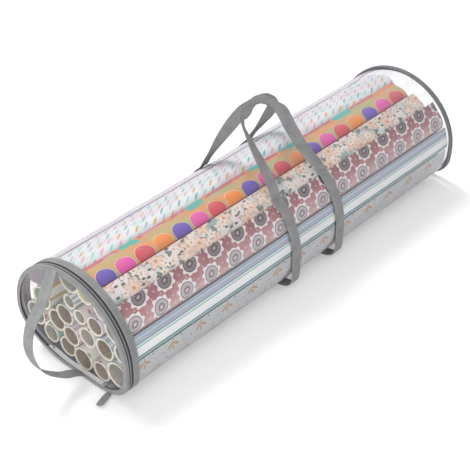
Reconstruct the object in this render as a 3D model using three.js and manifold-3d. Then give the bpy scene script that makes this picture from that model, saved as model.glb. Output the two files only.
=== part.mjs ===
// Gift wrap storage bag: a clear soft tube that lies on its side, filled with rolls of wrapping paper.
// The near end is a lid on a zip, the far end is sewn shut, and two carry handles stand over the middle.
// Millimetres, +Z up, the bag's length along X with the lid at -X and the front at -Y.

import * as THREE from 'three';
import { mergeVertices } from 'three/addons/utils/BufferGeometryUtils.js';
import Module from 'manifold-3d';

const wasm = await Module();
wasm.setup();

// Driving dimensions of the bag
const bagLength = 800;
const halfWidth = 117;
const crownHeight = 112;
const sagDepth = 66;
const flatDepth = 1;
const filmThickness = 0.8;
const fabricThickness = 0.8;
const tapeThickness = 0.4;
const seamGap = 0.3;
const restHeight = 3;

// How square the sagged lower half is: 0 is an ellipse and 1 a box
const frontSquareShare = 0.412;
const rearSquareShare = 0.048;
const strapFrontSquareShare = 0.714;
const strapRearSquareShare = 0.2;

// Webbing, straps and handles
const webbingWidth = 20;
const webbingThickness = 1.4;
const leftStrapFromLid = 370;
const rightStrapFromLid = 480;
const handleHeight = 121;
const handleGripLength = 76;
const handleRise = 20;
const handleSpacing = 4;
const gripSag = 10;
const frontLeaveAngle = 127;
const rearLeaveAngle = 47;
const strapLap = 14;

// Lid, zip and rims
const lidDepth = 9.1;
const rimBandWidth = 12;
const faceRingWidth = 6;
const zipSlot = 1.2;
const coilWidth = 2;
const coilThickness = 1.3;
const tapeWidth = 8;
const zipGroove = 8;
const foldHeight = 9;
const stopGap = 1.2;
const windowInset = 1;

// Slider and its pull
const sliderPlaceShare = 0.6154;
const sliderLength = 11;
const sliderNoseWidth = 8.4;
const sliderTailWidth = 6;
const sliderPlate = 0.8;
const sliderNeck = 0.6;
const sliderClearance = 0.5;
const bridgeSpan = 5.6;
const bridgeOpening = 0.9;
const bridgeRod = 0.6;
const pullTabLength = 37;
const pullTabWidth = 10;
const pullNeckWidth = 5;
const pullTabThickness = 0.9;
const pullWrap = 0.5;
const pullPlay = 0.15;
const pullTabLeanAngle = 18;
const stopLength = 3;

// Loop handle across the lid
const endHandleReach = 72;
const endHandleStub = 14;
const endHandleTopOffset = 23;
const endHandleFootOffset = 20;
const endHandleTopMargin = 5;
const endHandleFootMargin = 12;

// Far end
const bindingWidth = 9;
const bindingLip = 6;
const lapSeamWidth = 18;
const lapSeamHeightShare = 0.679;

// Rolls of paper
const rollLength = 762;
const rollDiameter = 38;
const rollWall = 2.6;
const rollRecess = 9.5;
const rollStagger = 1.5;
const rollClearance = 0.3;
const firstRollTurn = 219;

// Counts
const sectionSteps = 72;
const turnSearchSteps = 40;
const rollSides = 26;
const staggerSteps = 4;
const staggerStride = 3;
const noseSegments = 4;
const eyeSegments = 8;
const gripSegments = 12;
const innerRolls = 12;
const thinRolls = 2;
const loopSteps = 40;
const searchTurns = 720;

// The rolls along the front, from the floor up to the crown, as shares of a common roll
const frontRollShares = [
  { name: 'roll_silver_sprig', thick: 1.18, long: 1.018 },
  { name: 'roll_striped', thick: 0.97, long: 1.018 },
  { name: 'roll_mauve', thick: 1.02, long: 1.018 },
  { name: 'roll_floral', thick: 0.86, long: 0.99 },
  { name: 'roll_dotted', thick: 0.93, long: 0.978 },
  { name: 'roll_pastel', thick: 1.1, long: 0.988 },
];
const innerRollShares = [1, 0.92, 1.06, 0.96, 0.9, 1.1, 0.94];
const thinRollShare = 0.7;

// The room left for more rolls, as shares of the half width and of the crown's height
const spareRoomShares = { from: 0.265, width: 0.3, floor: 0.41, height: 0.367 };

// The loop handle's run: how far it stands off the lid, and how far down the lid it has come
const endHandleRunShares = [
  [0, 0],
  [0.13, 0.1],
  [0.45, 0.24],
  [0.84, 0.36],
  [1, 0.53],
  [0.88, 0.71],
  [0.5, 0.84],
  [0.22, 0.88],
  [0.12, 0.93],
  [0, 1],
];

const degree = Math.PI / 180;
const bandInner = seamGap + tapeThickness + seamGap;
const bandOuter = bandInner + fabricThickness;
const middleHeight = sagDepth - flatDepth + restHeight;
const lidFace = -bagLength / 2;
const farFace = bagLength / 2;
const zipLine = lidFace + lidDepth;
const sliderFromMiddle = sliderPlaceShare * halfWidth;
const wholeTurn = [0, 2 * Math.PI];

// Materials
function finish(color, roughness, metalness = 0) {
  return new THREE.MeshStandardMaterial({ color, roughness, metalness });
}

const clearFilm = new THREE.MeshStandardMaterial({
  color: 0xe4e6ea, roughness: 0.12, metalness: 0, transparent: true, opacity: 0.3,
});
const greyFabric = finish(0x97979b, 0.85);
const greyWebbing = finish(0x95969a, 0.9);
const darkBinding = finish(0x6f7072, 0.85);
const blackTape = finish(0x1d1d20, 0.8);
const zipPolymer = finish(0x3a3a3d, 0.45);
const sliderMetal = finish(0x8b8d90, 0.35, 0.9);

// Points of the bag's cross-section, an offset outside the film's outer face.
// The turn runs from the rear (+Y) over the crown (+Z) to the front (-Y).
const filmCorners = { front: frontSquareShare, rear: rearSquareShare, drop: 0 };
const strapCorners = {
  front: strapFrontSquareShare,
  rear: strapRearSquareShare,
  drop: restHeight - bandOuter,
};

function sectionPoint(turn, offset, corners = filmCorners) {
  const c = Math.cos(turn);
  const s = Math.sin(turn);
  if (s >= 0) {
    return new THREE.Vector2((halfWidth + offset) * c, (crownHeight + offset) * s);
  }
  const power = 2 / (1 - (c < 0 ? corners.front : corners.rear));
  const stretch = (Math.abs(c) ** power + Math.abs(s) ** power) ** (-1 / power);
  const depth = sagDepth + offset + corners.drop;
  const y = (halfWidth + offset) * stretch * c;
  const z = Math.max(depth * stretch * s, flatDepth - depth);
  return new THREE.Vector2(y, z);
}

function sectionOutline(offset, turns = wholeTurn, corners = filmCorners) {
  const [from, to] = turns;
  const steps = Math.max(2, Math.ceil(sectionSteps * (to - from) / (2 * Math.PI)));
  const count = turns === wholeTurn ? steps : steps + 1;
  const turnAt = (i) => from + (to - from) * i / steps;
  return Array.from({ length: count }, (_, i) => sectionPoint(turnAt(i), offset, corners));
}

// The turn, between two others, where the film stops being short of a place
function searchedTurn(from, to, isShort) {
  let low = from;
  let high = to;
  for (let i = 0; i < turnSearchSteps; i += 1) {
    const middle = (low + high) / 2;
    if (isShort(sectionPoint(middle, 0))) {
      low = middle;
    } else {
      high = middle;
    }
  }
  return (low + high) / 2;
}

const straightDown = 1.5 * Math.PI;

function frontUndersideTurn(y) {
  return searchedTurn(Math.PI, straightDown, (point) => point.x < y);
}

function rearUndersideTurn(height) {
  return searchedTurn(straightDown, 2 * Math.PI, (point) => point.y + middleHeight < height);
}

// An outline drawn in the cross-section's plane, given a length along the bag
const alongBag = new THREE.Matrix4().makeBasis(
  new THREE.Vector3(0, 1, 0),
  new THREE.Vector3(0, 0, 1),
  new THREE.Vector3(1, 0, 0),
);

function pulled(shape, from, to, curveSegments = rollSides / 2) {
  const settings = { depth: to - from, bevelEnabled: false, curveSegments };
  const geometry = new THREE.ExtrudeGeometry(shape, settings);
  geometry.applyMatrix4(alongBag);
  geometry.translate(from, 0, middleHeight);
  return geometry;
}

// A disc that fills the cross-section out to an offset
function plate(from, to, offset) {
  return pulled(new THREE.Shape(sectionOutline(offset)), from, to);
}

// A band round the section between two offsets, either whole or over part of a turn
function band(from, to, inner, outer, turns = wholeTurn, corners = filmCorners) {
  const rim = sectionOutline(outer, turns, corners);
  const back = sectionOutline(inner, turns, corners);
  if (turns === wholeTurn) {
    const ring = new THREE.Shape(rim);
    ring.holes.push(new THREE.Path(back));
    return pulled(ring, from, to);
  }
  return pulled(new THREE.Shape([...rim, ...back.reverse()]), from, to);
}

// Booleans
function solid(geometry) {
  const plain = geometry.clone();
  plain.deleteAttribute('normal');
  plain.deleteAttribute('uv');
  const merged = mergeVertices(plain);
  return new wasm.Manifold(new wasm.Mesh({
    numProp: 3,
    vertProperties: new Float32Array(merged.attributes.position.array),
    triVerts: new Uint32Array(merged.index.array),
  }));
}

function surface(body) {
  const mesh = body.getMesh();
  const geometry = new THREE.BufferGeometry();
  geometry.setAttribute('position', new THREE.BufferAttribute(mesh.vertProperties, mesh.numProp));
  geometry.setIndex(new THREE.BufferAttribute(mesh.triVerts, 1));
  geometry.computeVertexNormals();
  return geometry;
}

function joined(...geometries) {
  return surface(geometries.map(solid).reduce((sum, next) => sum.add(next)));
}

// The lid bends outward about a level fold, low on its face
function aboveFold(geometry) {
  return surface(solid(geometry).trimByPlane([0, 0, 1], foldHeight + seamGap));
}

function belowFold(geometry) {
  return surface(solid(geometry).trimByPlane([0, 0, -1], seamGap - foldHeight));
}

// A flat ribbon of webbing: stations give its middle, the way across it and the way through it
function ribbon(stations, width, thickness) {
  const corners = [[-1, -1], [1, -1], [1, 1], [-1, 1]];
  const positions = [];
  const index = [];
  stations.forEach(({ middle, across, through }, i) => {
    corners.forEach(([a, t], j) => {
      const point = middle.clone();
      point.addScaledVector(across, a * width / 2);
      point.addScaledVector(through, t * thickness / 2);
      positions.push(point.x, point.y, point.z);
      if (i > 0) {
        const here = 4 * i + j;
        const next = 4 * i + (j + 1) % 4;
        index.push(here - 4, next - 4, next, here - 4, next, here);
      }
    });
  });
  const last = positions.length / 3 - 4;
  index.push(0, 2, 1, 0, 3, 2, last, last + 1, last + 2, last, last + 2, last + 3);
  const geometry = new THREE.BufferGeometry();
  geometry.setAttribute('position', new THREE.Float32BufferAttribute(positions, 3));
  geometry.setIndex(index);
  geometry.computeVertexNormals();
  return geometry;
}

const bag = new THREE.Group();

function piece(name, geometry, material, parent = bag) {
  const mesh = new THREE.Mesh(geometry, material);
  mesh.name = name;
  parent.add(mesh);
  return mesh;
}

// The clear tube, with its lap seam inside it, high on the rear side
const filmStart = zipLine + zipSlot / 2 + coilWidth + seamGap;
const filmEnd = farFace - seamGap;

function addTube() {
  piece('film_tube', band(filmStart, filmEnd, -filmThickness, 0), clearFilm);
  const seamTurn = Math.asin(lapSeamHeightShare);
  const halfSpread = lapSeamWidth / halfWidth / 2;
  const turns = [seamTurn - halfSpread, seamTurn + halfSpread];
  const seamStart = zipLine + zipGroove / 2 + rimBandWidth + seamGap;
  const seamEnd = farFace - bindingWidth - seamGap;
  const outer = -filmThickness - seamGap;
  piece('film_lap_seam', band(seamStart, seamEnd, outer - filmThickness, outer, turns), clearFilm);
}

// The far end: a clear disc inside the tube, held by a folded binding round the edge
function addFarEnd() {
  const lipEnd = farFace + fabricThickness;
  piece('end_panel', plate(filmEnd - filmThickness, filmEnd, -filmThickness - seamGap), clearFilm);
  const wrap = band(farFace - bindingWidth, lipEnd, seamGap, restHeight);
  const lip = band(farFace, lipEnd, -bindingLip, restHeight);
  piece('end_binding', joined(wrap, lip), darkBinding);
}

// The zip: two black tapes, each with a row of coil on the inner edge, open under the lid's fold
const frontStopTurn = frontUndersideTurn(-sliderFromMiddle + sliderLength);
const rearStopTurn = rearUndersideTurn(foldHeight) - 2 * Math.PI;
const lidRowTurn = rearUndersideTurn(foldHeight + stopGap) - 2 * Math.PI;
const tapeOuter = seamGap + tapeThickness;

function alongRow(side, width) {
  const near = zipLine + side * zipSlot / 2;
  const far = near + side * width;
  return [Math.min(near, far), Math.max(near, far)];
}

function zipRow(side, from) {
  const turns = [from, frontStopTurn];
  return {
    tape: band(...alongRow(side, tapeWidth), seamGap, tapeOuter, turns),
    coil: band(...alongRow(side, coilWidth), -coilThickness, 0, turns),
  };
}

// The outer row is the lid's above the fold, and below it stays with the bag, where the slider parks
function addZip() {
  const inner = zipRow(1, rearStopTurn);
  const outer = zipRow(-1, lidRowTurn);
  piece('zip_tape_body', inner.tape, blackTape);
  piece('zip_coil_body', inner.coil, zipPolymer);
  piece('zip_tape_park', belowFold(outer.tape), blackTape);
  piece('zip_coil_park', belowFold(outer.coil), zipPolymer);
  piece('zip_tape_lid', aboveFold(outer.tape), blackTape);
  piece('zip_coil_lid', aboveFold(outer.coil), zipPolymer);
  const stopWidth = 2 * coilWidth + zipSlot;
  const stopFrom = zipLine - stopWidth / 2;
  const gap = stopGap / halfWidth;
  const reach = stopLength / halfWidth;
  const ends = [
    ['zip_stop_front', frontStopTurn + gap],
    ['zip_stop_rear', rearStopTurn - gap - reach],
  ];
  ends.forEach(([name, turn]) => {
    const stop = band(stopFrom, stopFrom + stopWidth, -coilThickness, 0, [turn, turn + reach]);
    piece(name, stop, sliderMetal);
  });
}

// Grey band sewn round the tube's mouth, over the outer edge of the zip tape
function addRimBand() {
  const start = zipLine + zipGroove / 2;
  piece('rim_band', band(start, start + rimBandWidth, bandInner, bandOuter), greyFabric);
}

// The lid: a clear window behind a grey face ring, with a skirt that runs back to the zip.
// Below the fold the face and skirt stay with the bag as one strip, which bends as the lid's hinge.
const lidOutside = lidFace - fabricThickness;
const skirtStart = lidFace + seamGap;
const skirtEnd = zipLine - zipGroove / 2;

function addLid() {
  const face = band(lidOutside, lidFace, -faceRingWidth, bandOuter);
  const window = plate(skirtStart, skirtStart + filmThickness, -windowInset);
  const skirt = band(skirtStart, skirtEnd, bandInner, bandOuter);
  piece('lid_face_ring', aboveFold(face), greyFabric);
  piece('lid_window', aboveFold(window), clearFilm);
  piece('lid_skirt', aboveFold(skirt), greyFabric);
  const wrapped = band(lidOutside, skirtEnd, bandInner, bandOuter);
  piece('lid_hinge_strip', joined(belowFold(face), belowFold(wrapped)), greyFabric);
}

// The way along the section at a turn, towards the front underneath
function travelAt(turn) {
  const step = 1 / sectionSteps;
  return sectionPoint(turn - step, 0).sub(sectionPoint(turn + step, 0)).normalize();
}

// A frame that stands on the rim: X along the bag, Y along the zip to the front, Z out of the bag
function frameOnSection(turn, x) {
  const here = sectionPoint(turn, 0);
  const travel = travelAt(turn);
  const frame = new THREE.Matrix4().makeBasis(
    new THREE.Vector3(1, 0, 0),
    new THREE.Vector3(0, travel.x, travel.y),
    new THREE.Vector3(0, -travel.y, travel.x),
  );
  return frame.setPosition(x, here.x, here.y + middleHeight);
}

// The slider: two tapered plates on a thin neck between the rows, and a bridge for the pull
const sliderTop = bandOuter + seamGap + sliderPlate;
const bridgeTop = sliderTop + bridgeOpening + bridgeRod;
const bridgeMiddle = sliderTop + bridgeOpening + bridgeRod / 2;

function taperedPlate(low, thickness) {
  const nose = sliderNoseWidth / 2;
  const tail = sliderTailWidth / 2;
  const half = sliderLength / 2;
  const outline = new THREE.Shape();
  outline.moveTo(-tail, half);
  outline.lineTo(-nose, -half + nose / 2);
  outline.quadraticCurveTo(-nose, -half, 0, -half);
  outline.quadraticCurveTo(nose, -half, nose, -half + nose / 2);
  outline.lineTo(tail, half);
  const settings = { depth: thickness, bevelEnabled: false, curveSegments: noseSegments };
  const geometry = new THREE.ExtrudeGeometry(outline, settings);
  geometry.translate(0, 0, low);
  return geometry;
}

function block(width, length, [low, high], y = 0) {
  const geometry = new THREE.BoxGeometry(width, length, high - low);
  geometry.translate(0, y, (low + high) / 2);
  return geometry;
}

const sliderTurn = frontUndersideTurn(-sliderFromMiddle);
const sliderFrame = frameOnSection(sliderTurn, zipLine);
const innerTop = -coilThickness - sliderClearance;

function addSlider() {
  const root = sliderTop - sliderPlate / 2;
  const footReach = (bridgeSpan + bridgeRod) / 2;
  const slider = joined(
    taperedPlate(innerTop - sliderPlate, sliderPlate),
    taperedPlate(sliderTop - sliderPlate, sliderPlate),
    block(sliderNeck, sliderLength / 2, [innerTop - sliderPlate / 2, root]),
    block(bridgeRod, bridgeRod, [root, bridgeTop], -footReach),
    block(bridgeRod, bridgeRod, [root, bridgeTop], footReach),
    block(bridgeRod, bridgeSpan + bridgeRod, [bridgeTop - bridgeRod, bridgeTop]),
  );
  piece('zip_slider', slider.applyMatrix4(sliderFrame), sliderMetal);
}

// The pull: a fabric tab folded round the slider's bridge, lying out past the lid
function addPullTab() {
  const inner = bridgeRod / 2 * Math.SQRT2 + pullPlay;
  const eye = new THREE.Shape();
  eye.absarc(0, 0, inner + pullWrap, 0, 2 * Math.PI);
  const bore = new THREE.Path();
  bore.absarc(0, 0, inner, 0, 2 * Math.PI);
  eye.holes.push(bore);
  const settings = { depth: pullNeckWidth, bevelEnabled: false, curveSegments: eyeSegments };
  const wrap = new THREE.ExtrudeGeometry(eye, settings);
  wrap.translate(0, 0, -pullNeckWidth / 2);
  wrap.rotateX(Math.PI / 2);

  const half = pullTabWidth / 2;
  const neck = pullNeckWidth / 2;
  const outline = new THREE.Shape();
  outline.moveTo(-inner, -neck);
  outline.lineTo(-inner, neck);
  outline.lineTo(-pullTabWidth, half);
  outline.lineTo(-pullTabLength + half, half);
  outline.absarc(-pullTabLength + half, 0, half, Math.PI / 2, 1.5 * Math.PI);
  outline.lineTo(-pullTabWidth, -half);
  const tabSettings = { depth: pullTabThickness, bevelEnabled: false, curveSegments: eyeSegments };
  const tab = new THREE.ExtrudeGeometry(outline, tabSettings);
  tab.translate(0, 0, -pullTabThickness / 2);
  const shear = Math.tan(pullTabLeanAngle * degree);
  tab.applyMatrix4(new THREE.Matrix4().makeShear(-shear, 0, 0, 0, 0, 0));
  const pull = joined(wrap, tab);
  pull.translate(0, 0, bridgeMiddle);
  piece('pull_tab', pull.applyMatrix4(sliderFrame), greyWebbing);
}

// Straps: webbing that hugs the belly, squares off under the front and runs beneath the bag
const strapInner = bandOuter - webbingThickness;
const frontLeave = frontLeaveAngle * degree;
const rearLeave = rearLeaveAngle * degree + 2 * Math.PI;
const leftStrap = lidFace + leftStrapFromLid;
const rightStrap = lidFace + rightStrapFromLid;

function addStrap(name, middle) {
  const lap = strapLap / halfWidth;
  const turns = [frontLeave - lap, rearLeave + lap];
  const half = webbingWidth / 2;
  const strap = band(middle - half, middle + half, strapInner, bandOuter, turns, strapCorners);
  piece(name, strap, greyWebbing);
}

// Carry handles: a loop of webbing in one leaning plane, sewn over the ends of the straps
const pivotOffset = bandOuter + seamGap + webbingThickness / 2;

function handleOutline(apex) {
  const half = webbingWidth / 2;
  const corner = apex - handleRise;
  const gripEnd = leftStrap + handleGripLength;
  const crest = (leftStrap + gripEnd) / 2;
  const crestHeight = corner + 2 * handleRise;
  const shape = new THREE.Shape();
  shape.moveTo(leftStrap - half, 0);
  shape.lineTo(leftStrap - half, corner);
  shape.quadraticCurveTo(crest, crestHeight, gripEnd + half, corner);
  shape.lineTo(rightStrap + half, 0);
  shape.lineTo(rightStrap - half, 0);
  shape.lineTo(gripEnd - half, corner - half);
  shape.quadraticCurveTo(crest, crestHeight - webbingWidth - gripSag, leftStrap + half, corner - half);
  shape.lineTo(leftStrap + half, 0);
  return shape;
}

function addHandle(name, leave, side) {
  const pivot = sectionPoint(leave, pivotOffset);
  const apex = new THREE.Vector2(side * handleSpacing / 2, crownHeight + handleHeight);
  const leg = apex.clone().sub(pivot);
  const legLength = leg.length();
  leg.normalize();
  const settings = { depth: webbingThickness, bevelEnabled: false, curveSegments: gripSegments };
  const geometry = new THREE.ExtrudeGeometry(handleOutline(legLength), settings);
  geometry.translate(0, 0, -webbingThickness / 2);
  const frame = new THREE.Matrix4().makeBasis(
    new THREE.Vector3(1, 0, 0),
    new THREE.Vector3(0, leg.x, leg.y),
    new THREE.Vector3(0, -leg.y, leg.x),
  );
  frame.setPosition(0, pivot.x, pivot.y + middleHeight);
  piece(name, geometry.applyMatrix4(frame), greyWebbing);
}

// The loop across the lid: two sewn stubs, and between them the loop, which sways about the line
// from stub to stub. It is cut square to that line, so that it turns clear of them.
const endTop = sectionPoint(Math.PI / 2, 0).y - endHandleTopMargin;
const endFoot = flatDepth - sagDepth + endHandleFootMargin;
const endBack = lidOutside - seamGap - webbingThickness / 2;

function endHandlePoint(outShare, downShare) {
  const aside = THREE.MathUtils.lerp(endHandleTopOffset, -endHandleFootOffset, downShare);
  const height = THREE.MathUtils.lerp(endTop, endFoot, downShare) + middleHeight;
  return new THREE.Vector3(endBack - outShare * endHandleReach, aside, height);
}

function addEndHandle() {
  const across = new THREE.Vector3(0, 1, 0);
  const points = endHandleRunShares.map(([out, down]) => endHandlePoint(out, down));
  const run = new THREE.CatmullRomCurve3(points);
  const stations = Array.from({ length: loopSteps + 1 }, (_, i) => {
    const share = i / loopSteps;
    const through = new THREE.Vector3().crossVectors(run.getTangentAt(share), across).normalize();
    return { middle: run.getPointAt(share), across, through };
  });
  const whole = solid(ribbon(stations, webbingWidth, webbingThickness));
  const stub = endHandleStub / run.getLength();
  const top = run.getPointAt(stub);
  const foot = run.getPointAt(1 - stub);
  const upward = top.clone().sub(foot).normalize();
  const downward = upward.clone().negate();
  const beyond = (body, way, point) => (
    body.trimByPlane(way.toArray(), way.dot(point) + seamGap / 2)
  );
  const loop = beyond(beyond(whole, downward, top), upward, foot);
  piece('end_handle_stub_top', surface(beyond(whole, upward, top)), greyWebbing);
  piece('end_handle', surface(loop), greyWebbing);
  piece('end_handle_stub_foot', surface(beyond(whole, downward, foot)), greyWebbing);
}

// The rolls. The front ones climb the film from the floor to the crown, each touching the one before.
// The rest settle one by one into the lowest place where they touch two things.
const mouth = sectionOutline(-coilThickness);

function filmSeat(turn, radius) {
  const step = 1 / sectionSteps;
  const along = sectionPoint(turn + step, -coilThickness).sub(sectionPoint(turn - step, -coilThickness));
  const inward = new THREE.Vector2(-along.y, along.x).normalize();
  return sectionPoint(turn, -coilThickness).addScaledVector(inward, radius + rollClearance);
}

function turnOf(point) {
  return (Math.atan2(point.y, point.x) + 2 * Math.PI) % (2 * Math.PI);
}

function distanceTo(roll, point) {
  return Math.hypot(point.x - roll.y, point.y - roll.z);
}

function seatsBesideFilm(radius, roll) {
  const reach = radius + roll.radius + rollClearance;
  const seats = [];
  let before = null;
  for (let i = 0; i <= searchTurns; i += 1) {
    const turn = i / searchTurns * 2 * Math.PI;
    const excess = distanceTo(roll, filmSeat(turn, radius)) - reach;
    if (before !== null && before.excess * excess <= 0) {
      const blend = before.excess / (before.excess - excess);
      seats.push(filmSeat(THREE.MathUtils.lerp(before.turn, turn, blend), radius));
    }
    before = { turn, excess };
  }
  return seats;
}

function seatsBesideTwo(radius, one, two) {
  const reachOne = radius + one.radius + rollClearance;
  const reachTwo = radius + two.radius + rollClearance;
  const apart = Math.hypot(two.y - one.y, two.z - one.z);
  if (apart > reachOne + reachTwo) {
    return [];
  }
  const along = (reachOne ** 2 - reachTwo ** 2 + apart ** 2) / (2 * apart);
  const rise = Math.sqrt(Math.max(reachOne ** 2 - along ** 2, 0));
  const y = (two.y - one.y) / apart;
  const z = (two.z - one.z) / apart;
  return [1, -1].map((side) => new THREE.Vector2(
    one.y + y * along - side * z * rise,
    one.z + z * along + side * y * rise,
  ));
}

// How far a point is from the straight stretch between two others
function distanceToStretch(point, from, to) {
  const along = to.clone().sub(from);
  const share = THREE.MathUtils.clamp(point.clone().sub(from).dot(along) / along.lengthSq(), 0, 1);
  return point.distanceTo(from.clone().addScaledVector(along, share));
}

function insideFilm(point, radius) {
  const room = radius + rollClearance / 2;
  return mouth.every((corner, i) => {
    const next = mouth[(i + 1) % mouth.length];
    const inner = (next.x - corner.x) * (point.y - corner.y) > (next.y - corner.y) * (point.x - corner.x);
    return inner && distanceToStretch(point, corner, next) >= room;
  });
}

// Room for a few more rolls is left high on the rear side
function leavesSpareRoom(point, radius) {
  const { from, width, floor, height } = spareRoomShares;
  const y = THREE.MathUtils.clamp(point.x, from * halfWidth, (from + width) * halfWidth);
  const z = THREE.MathUtils.clamp(point.y, floor * crownHeight, (floor + height) * crownHeight);
  return Math.hypot(point.x - y, point.y - z) >= radius + rollClearance;
}

// The rolls keep clear of the slider's inner plate
function clearsSlider(point, radius) {
  const travel = travelAt(sliderTurn);
  const inward = new THREE.Vector2(travel.y, -travel.x);
  const inner = sectionPoint(sliderTurn, 0).addScaledVector(inward, sliderPlate - innerTop);
  const [nose, tail] = [1, -1].map((side) => (
    inner.clone().addScaledVector(travel, side * sliderLength / 2)
  ));
  return distanceToStretch(point, nose, tail) >= radius + sliderClearance;
}

function nestedRolls() {
  const rolls = [];
  const put = (name, radius, point, long = 1) => (
    rolls.push({ name, radius, long, y: point.x, z: point.y })
  );
  const clears = (point, radius) => rolls.every((roll) => (
    distanceTo(roll, point) >= radius + roll.radius + rollClearance / 2
  ));
  frontRollShares.forEach(({ name, thick, long }, i) => {
    const radius = thick * rollDiameter / 2;
    if (i === 0) {
      put(name, radius, filmSeat(firstRollTurn * degree, radius), long);
      return;
    }
    const last = turnOf({ x: rolls[i - 1].y, y: rolls[i - 1].z });
    const seats = seatsBesideFilm(radius, rolls[i - 1]).filter((seat) => turnOf(seat) < last);
    seats.sort((a, b) => turnOf(b) - turnOf(a));
    put(name, radius, seats[0], long);
  });
  for (let i = 0; i < innerRolls + thinRolls; i += 1) {
    const share = i < innerRolls ? innerRollShares[i % innerRollShares.length] : thinRollShare;
    const radius = share * rollDiameter / 2;
    const seats = rolls.flatMap((one, j) => [
      ...seatsBesideFilm(radius, one),
      ...rolls.slice(j + 1).flatMap((two) => seatsBesideTwo(radius, one, two)),
    ]);
    const free = seats.filter((seat) => (
      clears(seat, radius) && insideFilm(seat, radius)
      && leavesSpareRoom(seat, radius) && clearsSlider(seat, radius)
    ));
    if (free.length === 0) {
      break;
    }
    free.sort((a, b) => a.y - b.y);
    put(`roll_${String(i + 1).padStart(2, '0')}`, radius, free[0]);
  }
  return rolls;
}

const paperColours = [0xdfe3de, 0x9fb8ae, 0xc9a7ae, 0xd9cba6, 0xaeb9cf, 0xc8b6d6, 0xb7c9a4];

function addRolls() {
  nestedRolls().forEach(({ name, radius, long, y, z }, i) => {
    const shape = new THREE.Shape();
    shape.absarc(y, z, radius, 0, 2 * Math.PI);
    const bore = new THREE.Path();
    bore.absarc(y, z, radius - rollWall, 0, 2 * Math.PI);
    shape.holes.push(bore);
    const start = lidFace + rollRecess + rollStagger * ((i * staggerStride) % staggerSteps);
    const colour = paperColours[i % paperColours.length];
    piece(name, pulled(shape, start, start + long * rollLength), finish(colour, 0.55));
  });
}

addTube();
addFarEnd();
addZip();
addRimBand();
addLid();
addSlider();
addPullTab();
addStrap('strap_left', leftStrap);
addStrap('strap_right', rightStrap);
addHandle('handle_front', frontLeave, -1);
addHandle('handle_rear', rearLeave, 1);
addEndHandle();
addRolls();

// The origin goes to the middle of the footprint, on the floor
const reach = new THREE.Box3().setFromObject(bag);
const middle = reach.getCenter(new THREE.Vector3());
bag.position.set(-middle.x, -middle.y, -reach.min.z);

export default bag;
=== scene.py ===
import math
import random

import bmesh
import bpy
import numpy as np
from mathutils import Matrix, Vector


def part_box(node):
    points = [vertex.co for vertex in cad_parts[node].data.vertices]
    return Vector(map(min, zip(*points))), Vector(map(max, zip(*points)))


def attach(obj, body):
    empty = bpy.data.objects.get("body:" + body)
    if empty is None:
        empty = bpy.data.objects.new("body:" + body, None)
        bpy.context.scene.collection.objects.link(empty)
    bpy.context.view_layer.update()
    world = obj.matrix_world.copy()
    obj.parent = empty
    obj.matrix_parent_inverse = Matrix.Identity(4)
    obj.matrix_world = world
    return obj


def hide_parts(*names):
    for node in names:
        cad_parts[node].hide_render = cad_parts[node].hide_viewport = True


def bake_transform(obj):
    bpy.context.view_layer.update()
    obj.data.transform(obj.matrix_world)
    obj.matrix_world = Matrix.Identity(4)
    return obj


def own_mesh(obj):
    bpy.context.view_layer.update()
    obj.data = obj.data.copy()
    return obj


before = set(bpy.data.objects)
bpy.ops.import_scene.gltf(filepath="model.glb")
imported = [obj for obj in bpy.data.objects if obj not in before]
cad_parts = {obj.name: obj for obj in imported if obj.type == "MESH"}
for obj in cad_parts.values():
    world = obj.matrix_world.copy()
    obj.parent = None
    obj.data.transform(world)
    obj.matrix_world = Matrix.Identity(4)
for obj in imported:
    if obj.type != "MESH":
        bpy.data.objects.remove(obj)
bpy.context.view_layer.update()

# Everything below is written in millimetres and goes into Blender in metres
MM = 0.001
FULL_TURN = 2 * math.pi

# The bag's cut, as the solids have it: a crown above the widest line, and a squarer sag below it.
# Corners say how square the sag is at the front and at the rear, and how much lower it hangs.
HALF_WIDTH = 117.0
CROWN_HEIGHT = 112.0
SAG_DEPTH = 66.0
FLAT_DEPTH = 1.0
MIDDLE_HEIGHT = 68.0
FILM_CORNERS = (0.412, 0.048, 0.0)
STRAP_CORNERS = (0.714, 0.2, 1.2)
FOLD_HEIGHT = 9.0
FILM_THICK = 0.8

# Turns down the underside, from the widest line to the lowest one
UNDER_FRONT = np.linspace(math.pi, 1.5 * math.pi, 2001)
UNDER_REAR = np.linspace(0, -0.5 * math.pi, 2001)


def box_of(node_name):
    """A solid's lowest and highest corner."""
    return np.array(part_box(node_name)) / MM


def ends_of(node_name):
    """Where a solid starts and ends along the bag."""
    return box_of(node_name)[:, 0]


LID_FACE = ends_of("lid_face_ring")[0]
SKIRT_END = ends_of("lid_skirt")[1]
BAND_START, BAND_END = ends_of("rim_band")
FILM_START, FILM_END = ends_of("film_tube")
ZIP_LINE = (SKIRT_END + BAND_START) / 2
BINDING_START, BINDING_END = ends_of("end_binding")


def section(turn, offset=0.0, corners=FILM_CORNERS):
    """Y and Z of the bag's cut at a turn, stood off outward by offset."""
    turn, offset = np.asarray(turn, float), np.asarray(offset, float)
    c, s = np.cos(turn), np.sin(turn)
    front, rear, drop = corners
    power = 2 / (1 - np.where(c < 0, front, rear))
    stretch = (np.abs(c) ** power + np.abs(s) ** power) ** (-1 / power)
    depth = SAG_DEPTH + offset + drop
    above = s >= 0
    y = (HALF_WIDTH + offset) * c * np.where(above, 1.0, stretch)
    low = np.maximum(depth * stretch * s, FLAT_DEPTH - depth)
    z = np.where(above, (CROWN_HEIGHT + offset) * s, low)
    return y, z + MIDDLE_HEIGHT


def run_along(points):
    """The length along a line to each of its points."""
    return np.concatenate([[0.0], np.cumsum(np.hypot.reduce(np.diff(points, axis=0), axis=1))])


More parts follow.
